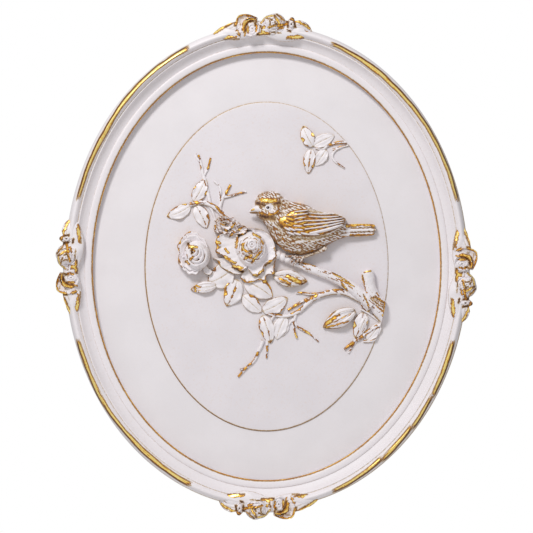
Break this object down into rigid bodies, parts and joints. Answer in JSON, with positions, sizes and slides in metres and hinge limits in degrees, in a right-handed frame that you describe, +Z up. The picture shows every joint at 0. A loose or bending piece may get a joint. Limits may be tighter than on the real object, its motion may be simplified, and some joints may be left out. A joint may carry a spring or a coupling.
{
  "type": "wall sculpture",
  "caption": "Oval wall plaque in white cast resin: a songbird on a rose branch in relief, inside a moulded oval frame with rose ornaments and gold-rubbed edges.",
  "frame": {"origin": "centre of the flat back, in the plane that lies against the wall", "axes": "+Y points out of the back, into the wall, so the relief faces -Y; +Z is up along the long axis of the oval; +X is to the viewer's right"},
  "size_m": [0.421, 0.036, 0.5053],
  "materials": {
    "frame_resin": "white cast resin with a satin sheen, its crest, lip and ornaments rubbed with gold",
    "field_resin": "smooth white resin, satin",
    "relief_resin": "white cast resin with a satin sheen, its raised edges rubbed with gold"
  },
  "bodies": {
    "root": {"oval_frame": "frame_resin", "field_panel": "field_resin", "relief_medallion": "relief_resin"}
  },
  "joints": []
}
